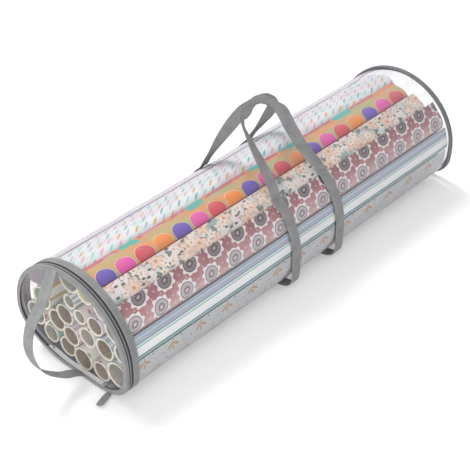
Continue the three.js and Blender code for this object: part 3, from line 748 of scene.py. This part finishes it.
def roll_place(name):
    """A roll's middle, radius and ends, from its solid."""
    low, high = box_of(name)
    return (low[1] + high[1]) / 2, (low[2] + high[2]) / 2, (high[1] - low[1]) / 2, low[0], high[0]


def sheet_row_places(near, far):
    """Stations along a roll, close together at its ends."""
    ends = np.array([0.0, 1.5, 5.0, 16.0])
    return np.concatenate([near + ends, np.linspace(near + 80, far - 80, 5), far - ends[::-1]])


def film_sink(turns):
    """How far the film sinks between the rolls at each turn, in mm."""
    y, z = section(turns, -FILM_THICK)
    room = np.full(len(turns), 99.0)
    for name in PRINTS:
        y0, z0, radius, _, _ = roll_place(name)
        room = np.minimum(room, np.hypot(y - y0, z - z0) - radius)
    sink = np.clip(0.5 * (room - 0.9), 0, 1.3)
    return np.convolve(np.concatenate([sink[-2:], sink, sink[:2]]), np.ones(5) / 5, "valid")


def sink_at(turns):
    """How far the film sinks at any turns, read from an even row of them."""
    every = even_turns(2.2)
    return np.interp(turns, every, film_sink(every))


def touch_turn(y0, z0):
    """The turn of the film that is nearest to a roll."""
    turns = np.linspace(0, FULL_TURN, 3601)
    y, z = section(turns, -FILM_THICK)
    return float(turns[np.argmin(np.hypot(y - y0, z - z0))])


def wound_path(name, chance):
    """The sheet's middle line in the bag's cut, from its free end to the core, and its length at each."""
    y0, z0, radius, _, _ = roll_place(name)
    touch = touch_turn(y0, z0)
    y, z = section(touch, -FILM_THICK)
    facing = math.atan2(z - z0, y - y0)
    free_end = FREE_ENDS.get(name)
    start = facing if free_end else facing - math.pi + chance.uniform(-0.3, 0.3)
    wound = np.linspace(0, FULL_TURN * WOUND_TURNS, int(30 * WOUND_TURNS) + 1)
    angle = start + wound
    press = chance.uniform(0.2, 0.8) * (0.5 + 0.5 * np.cos(2 * (angle - chance.uniform(0, math.pi))))
    reach = radius - SHEET / 2 - SHEET_PITCH * wound / FULL_TURN - press * np.clip(wound / 2, 0, 1)
    path = np.stack([y0 + reach * np.cos(angle), z0 + reach * np.sin(angle)], -1)
    at_film = int(np.argmin(np.abs(angle - facing)))
    if free_end:
        turns = np.linspace(math.radians(free_end), touch - 0.03, 16)
        loose = np.stack(section(turns, -(FILM_THICK + sink_at(turns) + 0.5)), -1)
        path = np.concatenate([loose, path])
        at_film = len(turns)
    run = run_along(path)
    return path, run - run[at_film]


def wound_sheet(name, chance):
    """The sheet as one wound strip: printed outside, white inside and at its edges."""
    near, far = roll_place(name)[3:]
    path, run = wound_path(name, chance)
    outward = sideways(path)
    telescope = chance.uniform(-0.5, 0.9) * (run - run[0]) / (run[-1] - run[0])
    slide = np.maximum(np.concatenate([telescope, telescope[::-1]]), 0)
    around = np.concatenate([run, run[::-1]])
    rows = sheet_row_places(near, far)
    loops, paper = [], []
    for row in rows:
        bend = 0.3 * abs(math.sin(row / 97.0 + run[0]))
        outer, inner = path + outward * (SHEET / 2 - bend), path - outward * (SHEET / 2 + bend)
        sides = np.concatenate([outer, inner[::-1]])
        keep = 1 - 2 * (row - near) / (far - near)
        x = row + slide * np.clip(keep * 40, -1, 1)
        loops.append(np.stack([x, sides[:, 0], sides[:, 1]], -1))
        paper.append(np.stack([np.full_like(around, row - near), around, 0 * around], -1))
    shell = loft(loops, paper=paper)
    printed, count = len(path) - 1, 2 * len(path)
    ends = (len(rows) - 1) * count
    shell["slots"] = [int(k >= ends or k % count >= printed) for k in range(len(shell["faces"]))]
    return shell


def board_core(name):
    """The board tube that the sheet is wound on."""
    y0, z0, radius, near, far = roll_place(name)
    outer = radius - SHEET_PITCH * WOUND_TURNS - SHEET - CORE_SLACK
    inner = outer - CORE_THICK
    near, far = near + CORE_RECESS, far - CORE_RECESS
    cut = [(near, outer), (far, outer), (far, inner), (near + 38.8, inner), (near, inner)]
    turns = np.linspace(0, FULL_TURN, 33)[:-1]
    loops = [[(x, y0 + r * math.cos(t), z0 + r * math.sin(t)) for x, r in cut] for t in turns]
    return loft(loops, closed=True, slot=2)


def add_rolls():
    """Every roll, riding with the bundle and standing for its plain solid."""
    chance = random.Random(5)
    for name, (draw, inside) in PRINTS.items():
        finish = wrap_paper("gift_wrap_" + name[5:], draw)
        shells = [wound_sheet(name, chance), board_core(name)]
        piece(name + "_paper", shells, [finish, paper_back, BACKS[inside]], "rolls", [name])


def add_tissue():
    """A loose sheet of tissue along the rear film, its lower edge curled back over the roll below."""
    turns = np.linspace(math.radians(61), math.radians(29), 18)
    film_side = np.stack(section(turns, -(1.3 + sink_at(turns))), -1)
    curl = [film_side[-1], (99.0, 116.5), (93.0, 113.4), (84.0, 113.8), (74.0, 114.0), (65.0, 112.6)]
    path = np.concatenate([film_side, smooth_line(curl, 4)[2:]])
    half_thick = 0.15
    through = sideways(path) * half_thick
    loops = []
    for x in np.linspace(-351, 392, 24):
        ripple = 0.35 * np.sin(x / 19 + np.arange(len(path)) * 0.7)
        dip = np.minimum(0, ripple * through[:, 1] / half_thick)
        slack = path + np.stack([0 * dip, dip], -1)
        sides = np.concatenate([slack + through, (slack - through)[::-1]])
        loops.append(np.concatenate([np.full((len(sides), 1), x), sides], 1))
    piece("tissue_sheet", [loft(loops)], [tissue], "rolls")


# The clear shell


def film_dents(turns, xs):
    """How far the film lies inside its plain cut: the sinking between the rolls, and small ripples."""
    fade = np.clip(np.minimum(xs - BAND_END, BINDING_START - xs) / 30, 0, 1)
    turn, x = turns[:, None], xs[None, :]
    sway = 0.75 + 0.25 * np.sin(x / 61 + 3 * turn)
    ripple = 0.16 * np.sin(x / 23 + 7 * np.sin(turn * 3)) + 0.12 * np.sin(x / 9.7 + turn * 11)
    off_the_floor = np.sin(turn) >= -0.8
    return (film_sink(turns)[:, None] * sway + ripple) * fade * off_the_floor


def add_film():
    turns = even_turns(2.2)[:-1]
    xs = np.concatenate([[FILM_START], np.linspace(BAND_START + 2, BINDING_END - 4, 66), [FILM_END]])
    dents = film_dents(turns, xs)
    xs = np.broadcast_to(xs, dents.shape)
    outer, inner = np.stack([xs, -dents], -1), np.stack([xs, -dents - FILM_THICK], -1)[:, ::-1]
    tube = swept(np.concatenate([outer, inner], 1), turns)
    piece("film_tube_vinyl", [tube], [film], "bag", ["film_tube"])
    low, high = box_of("film_lap_seam")
    start, end = (math.asin((at[2] + 1 - MIDDLE_HEIGHT) / CROWN_HEIGHT) for at in (low, high))
    cut = [(low[0], -1.9), (high[0], -1.9), (high[0], -1.1), (low[0], -1.1)]
    weld = swept(cut, np.linspace(start, end, 9), closed=False)
    piece("film_lap_weld", [weld], [film], "bag", ["film_lap_seam"])


def disc(near, far, offset, lowest, bulge):
    """A sheet across the bag's mouth, a little crowned, cut straight at its lowest height."""
    turns = even_turns(5.0, offset=offset)[:-1]
    y, z = section(turns, offset)
    z = np.maximum(z, lowest)
    middle_height = 92.0
    shares = [0.0, 0.25, 0.5, 0.7, 0.85, 0.94, 1.0]
    rings = [(near + bulge * (1 - s**2), s) for s in shares]
    rings += [(far + bulge * (1 - s**2), s) for s in shares[::-1]]
    points = []
    for rim_y, rim_z in zip(y, z):
        points.append([(x, rim_y * s, middle_height * (1 - s) + rim_z * s) for x, s in rings])
    return loft(points, closed=True)


def add_discs():
    window = disc(*ends_of("lid_window"), -1.0, FOLD_HEIGHT + 0.3, 0.9)
    piece("lid_window_vinyl", [window], [window_film], "lid", ["lid_window"])
    panel = disc(*ends_of("end_panel"), -1.1, 0, -1.2)
    piece("end_panel_vinyl", [panel], [window_film], "bag", ["end_panel"])


# The grey trim


def add_rim_band():
    rows = (BAND_START + 1.6, BAND_END - 1.6)
    cut = band_cut(BAND_START, BAND_END, 1.0, 1.8, 7, 0.35, rows)
    band = swept(cut, even_turns(2.5)[:-1], lined=len(cut) // 2 + 1)
    piece("rim_band_fabric", [band], [trim_cloth, tape_cloth], "bag", ["rim_band"])
    shells = [s for x in rows for s in stitches_round(x, 1.62, 0, FULL_TURN)]
    piece("rim_band_thread", shells, [thread], "bag")


def lid_trim_cut():
    """The cut through the lid's binding: its outer side from the zip to the face, and its inner one back."""
    face, back, zip_side = LID_FACE, LID_FACE + 0.8, SKIRT_END
    hem = -6.0
    outside = [
        (zip_side, 1.2), (zip_side, 1.6), (zip_side - 0.3, 1.8), (zip_side - 0.9, 1.6),
        (zip_side - 1.6, 1.8), (face + 1.6, 1.8), (face + 0.7, 1.6), (face + 0.2, 1.1), (face, 0.4),
        (face, -1.6), (face + 0.18, -2.6), (face, -3.4), (face, hem + 0.4), (face + 0.2, hem),
    ]
    inside = [
        (back - 0.2, hem), (back, hem + 0.3), (back, -3.4), (back, -2.6), (back, -1.6), (back, 0.2),
        (back + 0.1, 0.6), (back + 0.3, 0.85), (back + 0.6, 0.97), (back + 1.0, 1.0),
        (zip_side - 1.6, 1.0), (zip_side - 0.9, 1.0), (zip_side - 0.3, 1.0), (zip_side - 0.1, 1.05),
    ]
    return outside, inside


def add_lid_trim():
    outside, inside = lid_trim_cut()
    # The trim's inner side is in the black zip tape cloth: partly the tape that lines it, partly painted
    # shade inside the lid's recess behind the window
    band = swept(outside + inside, even_turns(2.2)[:-1], lined=len(outside) - 1)
    solids = ["lid_face_ring", "lid_skirt", "lid_hinge_strip"]
    trim = piece("lid_trim_fabric", [band], [trim_cloth, tape_cloth], None, solids)
    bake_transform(trim)
    rear, front = (turn_at_height(FOLD_HEIGHT + 2.5, side) for side in (UNDER_REAR, UNDER_FRONT))
    shells = stitches_round(SKIRT_END - 0.9, 1.62, rear, front)
    shells += stitches_round(LID_FACE + 0.1, -2.6, rear, front, outward=(-1.0, 0.0, 0.0))
    piece("lid_trim_thread", shells, [thread], "lid")


def add_end_binding():
    near, far = BINDING_START, BINDING_END
    inner = far - 0.8
    cut = [
        (near, 0.4), (near, 2.3), (near + 0.5, 2.9), (near + 1.5, 2.7), (near + 2.2, 3.0),
        (far - 2.0, 3.0), (inner, 2.8), (far - 0.15, 2.1), (far, 1.0), (far, -2.4), (far - 0.15, -3.2),
        (far, -4.0), (far, -5.6), (far - 0.2, -6.0), (far - 0.65, -6.0), (inner, -5.6), (inner, -4.0),
        (inner, -3.2), (inner, -2.4), (inner, 0.0), (far - 1.0, 0.3), (far - 2.0, 0.4),
        (near + 2.2, 0.4), (near + 1.5, 0.4), (near + 0.5, 0.35), (near + 0.2, 0.3),
    ]
    binding = swept(cut, even_turns(2.5)[:-1])
    piece("end_binding_fabric", [binding], [binding_cloth], "bag", ["end_binding"])
    shells = stitches_round(near + 1.5, 2.78, 0, FULL_TURN)
    piece("end_binding_thread", shells, [thread], "bag")


# The zip. Its stop stands 11 mm past the slider, on the front underside.
COIL_PITCH = 2.0
SLIDER_Y = -72.0
STOP_TURN = float(np.interp(SLIDER_Y + 11.0, section(UNDER_FRONT)[0], UNDER_FRONT))

# A loop of the coil, from its rounded head to the tape: reach over the zip line, lift, half thickness
COIL_LOOP = ((-0.55, 0.0, 0.5), (-0.3, 0.35, 0.72), (0.9, 0.4, 0.72), (2.3, 0.1, 0.6), (2.55, -0.3, 0.4))


def coil_row(side, start, end):
    """One row of the coil: a rounded loop every 2 mm, reaching over the zip line between the others."""
    turns = even_turns(COIL_PITCH, start, end)
    turns = turns[:-1] + np.diff(turns) * (0.25 if side > 0 else 0.75)
    shells = []
    for middle, ahead, out in zip(*frames_round(ZIP_LINE, turns, 0.0)):
        stations = []
        for across, lift, size in COIL_LOOP:
            stations.append((middle + np.array([side * across, 0, 0]) + out * lift, size, size * 0.9))
        shells.append(bead(stations, ahead, out))
    return shells


def add_zip():
    for name, side, body, start, end in (
        ("body", 1, "bag", turn_at_height(FOLD_HEIGHT, UNDER_REAR), STOP_TURN),
        ("lid", -1, "lid", turn_at_height(FOLD_HEIGHT + 1.5, UNDER_REAR),
         turn_at_height(FOLD_HEIGHT + 0.4, UNDER_FRONT)),
        ("park", -1, "bag", turn_at_height(FOLD_HEIGHT - 0.4, UNDER_FRONT), STOP_TURN),
    ):
        tape, coil = "zip_tape_" + name, "zip_coil_" + name
        cut = band_cut(*ends_of(tape), 0.3, 0.7, 4, 0.1)
        strip = swept(cut, even_turns(3.0, start, end, 0.5), closed=False)
        piece(tape + "_woven", [strip], [tape_cloth], body, [tape])
        piece(coil + "_teeth", coil_row(side, start, end), [coil_finish], body, [coil])
    for name in ("zip_slider", "zip_stop_front", "zip_stop_rear"):
        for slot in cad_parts[name].material_slots:
            slot.material = zinc


# The pull: a strip of tape folded round the slider's bridge and sewn to a rounded tab
PULL_ROOT = np.array([ZIP_LINE, -72.8, 2.0])
PULL_OUT = np.array([-1.0, 0.0, 0.0])
PULL_ASIDE = np.array([0.0, -0.9797, 0.2004])
PULL_DOWN = np.array([0.0, -0.2004, -0.9797])
PULL_LEAN = math.tan(math.radians(18))
PULL_WIDTH = 12.0
NECK_WIDTH = 5.0
BRIDGE_REACH = 0.86
TIP_START = 32


def add_pull():
    """The tape's short end, its turn round the bridge, then its long end to the round tip."""
    path = [(out, -0.55) for out in np.linspace(13, 1.2, 8)]
    widths = [NECK_WIDTH + max(0, out - 6) * 0.5 for out, _ in path]
    for a in np.linspace(0.5, 1.5, 7)[1:-1] * math.pi:
        path.append((BRIDGE_REACH * math.cos(a), -BRIDGE_REACH * math.sin(a)))
        widths.append(NECK_WIDTH)
    tip = TIP_START + 5 * np.sin(np.linspace(0.15, 1.5, 8))
    for out in np.concatenate([np.linspace(1.2, TIP_START, 22), tip]):
        path.append((out, 0.42))
        if out < TIP_START:
            widths.append(min(PULL_WIDTH, NECK_WIDTH + max(0, out - 4) * 0.9))
        else:
            widths.append(PULL_WIDTH * math.sqrt(max(0.02, 1 - ((out - TIP_START) / 5.2) ** 2)))
    middles = []
    for out, down in path:
        lean = PULL_LEAN * max(out, 0)
        middles.append(PULL_ROOT + PULL_OUT * out + PULL_ASIDE * lean + PULL_DOWN * down)
    strip = webbing(middles, PULL_ASIDE, widths, 0.7)
    piece("pull_tab_tape", [strip], [webbing_cloth], "pull", ["pull_tab"])


# Webbing straps and handles
STRAP_XS = [sum(ends_of(n)) / 2 for n in ("strap_left", "strap_right")]
FRONT_LEAVE = math.radians(127)
REAR_LEAVE = math.radians(47)
HANDLE_TOP = 301.0


def add_straps():
    start, end = FRONT_LEAVE + 0.08, REAR_LEAVE + FULL_TURN - 0.08
    turns = even_turns(4.0, start, end, 1.1, STRAP_CORNERS)
    y, z = section(turns, 1.1, STRAP_CORNERS)
    for side, x in zip(("left", "right"), STRAP_XS):
        strip = webbing(np.stack([np.full_like(y, x), y, z], -1), np.array([1.0, 0.0, 0.0]))
        name = "strap_" + side
        piece(name + "_webbing", [strip], [webbing_cloth], "bag", [name])


# Each handle above its straps: x, height up its leaning plane, and the webbing's twist in degrees
FRONT_STATIONS = (
    (6.5, 14, 0), (3.0, 45, 4), (-3.5, 85, 20), (-8.2, 116, 38), (-7.0, 130, 32), (-2.5, 138.5, 16),
    (11.5, 142.5, 12), (28.0, 149.5, 34), (43.3, 146.5, 50), (56.6, 139.5, 68), (66.0, 131.5, 80),
    (74.0, 121.0, 64), (78.9, 108.0, 36), (83.0, 86.0, 27), (91.0, 56.0, 16), (102.0, 28.0, 6),
    (112.0, 10.0, 0),
)
REAR_STATIONS = (
    (8.0, 12, 0), (11.0, 36, -8), (15.8, 77, -40), (24.5, 109, -70), (32.0, 124.0, -66),
    (43.0, 131.0, -40), (61.0, 138.0, -16), (81.0, 130.0, -8), (99.0, 116.0, -4), (116.0, 101.0, 8),
    (129.0, 83.0, 22), (134.5, 58.0, 34), (128.5, 28.0, 8), (121.0, 10.0, 0),
)


def handle_line(leave, side, stations):
    """The handle's middle line from strap to strap, its twist, and the way its plane faces."""
    lap = -0.13 * side
    low = list(zip(*section(np.linspace(leave + lap, leave + lap * 0.15, 4), 1.2, STRAP_CORNERS)))
    pivot = np.array(section(leave, 2.8))
    leg = unit(np.array([side * 2.0, HANDLE_TOP]) - pivot)
    points = [(STRAP_XS[0], y, z, 0.0) for y, z in low]
    points += [(x, *(pivot + leg * up), twist) for x, up, twist in stations]
    points += [(STRAP_XS[1], y, z, 0.0) for y, z in low[::-1]]
    line = smooth_line(points, 8)
    return line[:, :3], np.radians(line[:, 3]), np.array([0.0, -leg[1] * side, leg[0] * side])


def add_handles():
    for name, leave, side, body, stations in (
        ("handle_front", FRONT_LEAVE, -1, "front_handle", FRONT_STATIONS),
        ("handle_rear", REAR_LEAVE, 1, "back_handle", REAR_STATIONS),
    ):
        line, twist, normal = handle_line(leave, side, stations)
        ahead = headings(line)
        flat = unit(np.cross(ahead, normal))
        across = flat * np.cos(twist)[:, None] + np.cross(ahead, flat) * np.sin(twist)[:, None]
        made = piece(name + "_webbing", [webbing(line, across)], [webbing_cloth], None, [name])
        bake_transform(made)


# The loop across the lid: shares of its reach off the face, and of its way down from top to foot
LOOP_SHARES = (
    (0, 0), (0.17, 0.09), (0.45, 0.22), (0.82, 0.35), (1, 0.53), (0.89, 0.73), (0.52, 0.875),
    (0.24, 0.93), (0.1, 0.965), (0, 1),
)
LOOP_REACH = 75
LOOP_TOP_Y, LOOP_TOP = 23, 180.0
LOOP_FOOT_Y, LOOP_FOOT = -26, 11.0
LOOP_SEWN = 13.5


def add_loop():
    points = []
    for out, down in LOOP_SHARES:
        y, z = LOOP_TOP_Y + (LOOP_FOOT_Y - LOOP_TOP_Y) * down, LOOP_TOP + (LOOP_FOOT - LOOP_TOP) * down
        points.append((LID_FACE - 1.0 - LOOP_REACH * out, y, z))
    line = smooth_line(points, 10)
    run = run_along(line)
    free = np.flatnonzero((run > LOOP_SEWN) & (run < run[-1] - LOOP_SEWN))
    low, high = free[0], free[-1] + 1
    aside = np.array([0.0, 1.0, 0.0])
    strip = webbing(line[low - 1 : high + 1], aside)
    loop = piece("lid_loop_webbing", [strip], [webbing_cloth], "lid_loop", ["end_handle"])
    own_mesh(loop)
    for name, part in (("top", line[: low + 1]), ("foot", line[high - 1 :])):
        strip, solid = webbing(part, aside), "end_handle_stub_" + name
        piece("lid_loop_end_" + name, [strip], [webbing_cloth], "lid", [solid])


# Floor, light and camera


def background_rays(tree):
    """Rays from the camera or off gloss, which see the backdrop at its own brightness."""
    path = node(tree, "LightPath").outputs
    return path, node(tree, "Math MAXIMUM", (path["Is Camera Ray"], path["Is Glossy Ray"]))


def add_floor():
    """A painted board, matt and nearly white, that glows a little where it is seen."""
    made, tree, shader = new_material("pale_floor", "#e9e9ea", 0.8)
    place = node(tree, "NewGeometry").outputs["Position"]
    grain = node(tree, "TexNoise", {"Vector": place, "Scale": 3.0})
    tone = node(tree, "ValToRGB", (grain,), ramp=[(0.3, "#e8e8e9"), (0.7, "#ebebec")])
    feed(tree, shader, Base_Color=tone)
    _, seen = background_rays(tree)
    lit = node(tree, "AddShader", (shader, node(tree, "Emission", ("#ffffff", 0.24))))
    feed(tree, tree.nodes["Material Output"], Surface=node(tree, "MixShader", (seen, shader, lit)))
    mesh = bpy.data.meshes.new("floor")
    far = 6.0
    mesh.from_pydata([(-far, -far, 0), (far, -far, 0), (far, far, 0), (-far, far, 0)], [], [(0, 1, 2, 3)])
    mesh.materials.append(made)
    floor = bpy.data.objects.new("floor", mesh)
    bpy.context.scene.collection.objects.link(floor)


def add_light():
    """White surroundings, one soft sun and a weak fill from the front."""
    world = bpy.data.worlds.new("studio")
    bpy.context.scene.world = world
    world.use_nodes = True
    tree = world.node_tree
    background = tree.nodes["Background"]
    path, seen = background_rays(tree)
    seen = node(tree, "Math MAXIMUM", (seen, path["Is Transmission Ray"]))
    strength = node(tree, "MapRange", {"Value": seen, "To Min": 0.56, "To Max": 1.0})
    feed(tree, background, Strength=strength)
    background.inputs["Color"].default_value = colour("#ffffff")
    for name, kind, place, spread, spread_name, power in (
        ("key", "SUN", (0.3, 1.5, 2.0), math.radians(24), "angle", 1.9),
        ("fill", "AREA", (-1.9, -0.9, 1.1), 1.8, "size", 24.0),
    ):
        lamp = bpy.data.lights.new(name, kind)
        setattr(lamp, spread_name, spread)
        lamp.energy = power
        made = bpy.data.objects.new(name, lamp)
        made.location = place
        aim = Vector((0.03, 0, 0.08)) - made.location
        made.rotation_euler = aim.to_track_quat("-Z", "Y").to_euler()
        bpy.context.scene.collection.objects.link(made)


# The photograph's view: worked out from both end rims
VIEW_TURN = math.radians(-47.65)
VIEW_RISE = math.radians(36.3)
VIEW_AIM = np.array([36.8, 0.0, 68.0])
VIEW_DISTANCE = 2007.0
VIEW_SLIDE = (-30.3, -28.4)
VIEW_LENS = 93.44


def add_camera():
    level = math.cos(VIEW_RISE)
    back = np.array([math.sin(VIEW_TURN) * level, -math.cos(VIEW_TURN) * level, math.sin(VIEW_RISE)])
    right = np.array([math.cos(VIEW_TURN), math.sin(VIEW_TURN), 0.0])
    up = np.cross(back, right)
    place = (VIEW_AIM + back * VIEW_DISTANCE + right * VIEW_SLIDE[0] + up * VIEW_SLIDE[1]) * MM
    data = bpy.data.cameras.new("camera")
    data.lens = VIEW_LENS
    data.sensor_width = 36.0
    data.clip_end = 50.0
    made = bpy.data.objects.new("camera", data)
    made.matrix_world = Matrix([*zip(right, up, back, place), (0, 0, 0, 1)])
    bpy.context.scene.collection.objects.link(made)
    bpy.context.scene.camera = made


add_camera()
add_film()
add_discs()
add_rim_band()
add_lid_trim()
add_end_binding()
add_zip()
add_pull()
add_straps()
add_handles()
add_loop()
add_rolls()
add_tissue()
add_floor()
add_light()
bpy.context.scene.view_settings.view_transform = "Standard"
